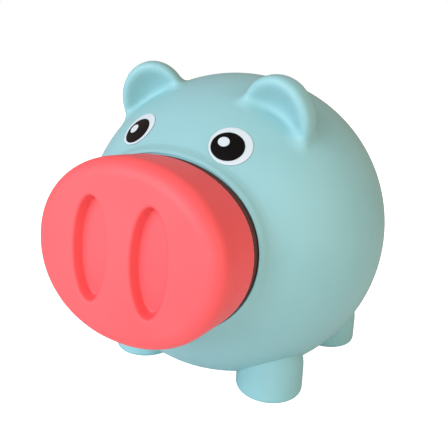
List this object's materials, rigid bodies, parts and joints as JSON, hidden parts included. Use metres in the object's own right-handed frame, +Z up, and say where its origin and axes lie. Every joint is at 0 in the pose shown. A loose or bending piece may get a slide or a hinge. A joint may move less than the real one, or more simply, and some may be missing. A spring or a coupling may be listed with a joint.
{
  "type": "piggy bank",
  "caption": "Round pig-shaped coin bank with a large oval pull-off snout, cupped ears, stub feet and a coin slot in its back.",
  "frame": {"origin": "on the ground plane under the middle of the bank's bounding box: midway between its sides and midway between snout and tail", "axes": "+Z up, -Y the way the pig faces, +X its left side"},
  "size_m": [0.14, 0.162, 0.1377],
  "materials": {
    "body_vinyl": "soft matte vinyl, pale aqua",
    "snout_vinyl": "soft matte vinyl, coral",
    "socket_plastic": "moulded rigid plastic, aqua",
    "grip_rubber": "soft black rubber",
    "white_print": "printed white ink, satin",
    "black_print": "printed black ink, satin"
  },
  "bodies": {
    "bank": {"body_shell": "body_vinyl", "neck_socket": "socket_plastic", "left_ear": "body_vinyl", "right_ear": "body_vinyl", "tail": "body_vinyl", "front_left_foot": "body_vinyl", "front_right_foot": "body_vinyl", "rear_left_foot": "body_vinyl", "rear_right_foot": "body_vinyl", "left_eye_white": "white_print", "left_eye_pupil": "black_print", "left_eye_glint": "white_print", "right_eye_white": "white_print", "right_eye_pupil": "black_print", "right_eye_glint": "white_print"},
    "snout": {"snout_cap": "snout_vinyl", "snout_back": "snout_vinyl", "neck_grip_ring": "grip_rubber"}
  },
  "joints": [
    {"name": "snout_pull", "type": "slide", "parent": "bank", "child": "snout", "axis": [0, -0.9978, 0.0663], "range_m": [0, 0.045]}
  ]
}
